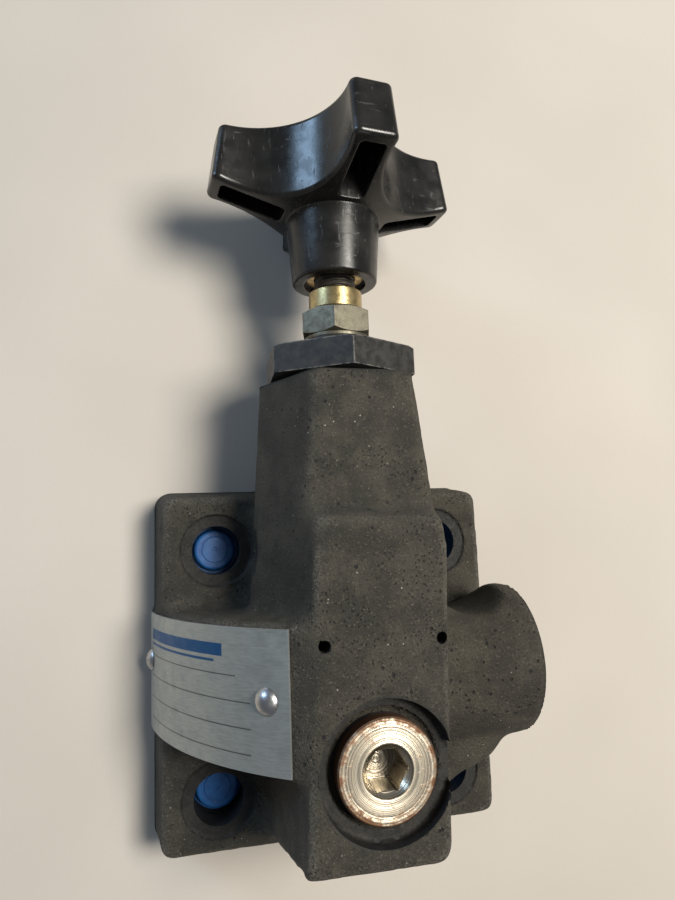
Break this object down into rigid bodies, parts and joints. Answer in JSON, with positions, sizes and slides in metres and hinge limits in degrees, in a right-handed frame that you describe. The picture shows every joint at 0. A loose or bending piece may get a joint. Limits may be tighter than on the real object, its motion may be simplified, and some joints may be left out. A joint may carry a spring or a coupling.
{
  "type": "flow control valve",
  "caption": "Gasket-mounted hydraulic flow control valve: cast block on a bolted flange, hex bonnet, threaded spindle with lock nut and four-lobed hand knob.",
  "frame": {"origin": "centre of the four-bolt pattern on the mounting face", "axes": "+Z out of the mounting face towards the front port plug, +Y along the adjusting spindle towards the hand knob, +X towards the round side boss"},
  "size_m": [0.1124, 0.2152, 0.0774],
  "materials": {
    "casting": "rough sand-cast, dark phosphate",
    "black_steel": "black oxide, slightly worn",
    "zinc_steel": "zinc plated",
    "yellow_zinc": "yellow zinc plated",
    "bright_steel": "turned",
    "knob_plastic": "moulded, semi-gloss",
    "plate": "brushed",
    "seal_rubber": "matte",
    "seal_white": "matte",
    "cap_blue": "soft polyethylene"
  },
  "bodies": {
    "valve": {"valve_body": "casting", "hex_cap": "black_steel", "cap_o_ring": "seal_rubber", "spindle_o_ring": "seal_rubber", "backup_ring": "seal_white", "front_port_plug": "bright_steel", "front_plug_o_ring": "seal_rubber", "side_plug": "bright_steel", "side_plug_o_ring": "seal_rubber", "face_o_rings": "seal_rubber", "shipping_plugs": "cap_blue", "nameplate": "plate", "drive_screws": "plate", "orifice_sleeve": "bright_steel", "spring_seat": "bright_steel", "compensator_spring": "bright_steel", "check_spring": "bright_steel"},
    "throttle": {"throttle_spool": "bright_steel"},
    "adjuster": {"adjusting_spindle": "black_steel", "stop_collar": "yellow_zinc", "knob_insert": "bright_steel", "hand_knob": "knob_plastic"},
    "washer": {"nut_washer": "zinc_steel"},
    "lock_nut": {"jam_nut": "zinc_steel"},
    "compensator": {"compensator_spool": "bright_steel"},
    "check_valve": {"check_poppet": "bright_steel"}
  },
  "joints": [
    {"name": "spindle_travel", "type": "slide", "parent": "valve", "child": "throttle", "axis": [0, 1, 0], "range_m": [0, 0.00571]},
    {"name": "knob_turn", "type": "hinge", "parent": "throttle", "child": "adjuster", "pos_m": [0, 0.09, 0.0385], "axis": [0, 1, 0], "range_deg": [0, 1621]},
    {"name": "nut_travel", "type": "slide", "parent": "valve", "child": "washer", "axis": [0, 1, 0], "range_m": [0, 0.0003175]},
    {"name": "nut_turn", "type": "hinge", "parent": "washer", "child": "lock_nut", "pos_m": [0, 0.1, 0.0385], "axis": [0, 1, 0], "range_deg": [0, 90.2]},
    {"name": "compensator_slide", "type": "slide", "parent": "valve", "child": "compensator", "axis": [0, -1, 0], "range_m": [0, 0.006], "stiffness_N_per_m": 4000, "springref_m": -0.004, "deforming": ["compensator_spring"]},
    {"name": "check_slide", "type": "slide", "parent": "valve", "child": "check_valve", "axis": [1, 0, 0], "range_m": [0, 0.003], "stiffness_N_per_m": 600, "springref_m": -0.004, "deforming": ["check_spring"]}
  ],
  "couplings": [
    {"joint": "knob_turn", "follows": "spindle_travel", "rad_per_m": 4947.4},
    {"joint": "nut_turn", "follows": "nut_travel", "rad_per_m": 4947.4}
  ]
}
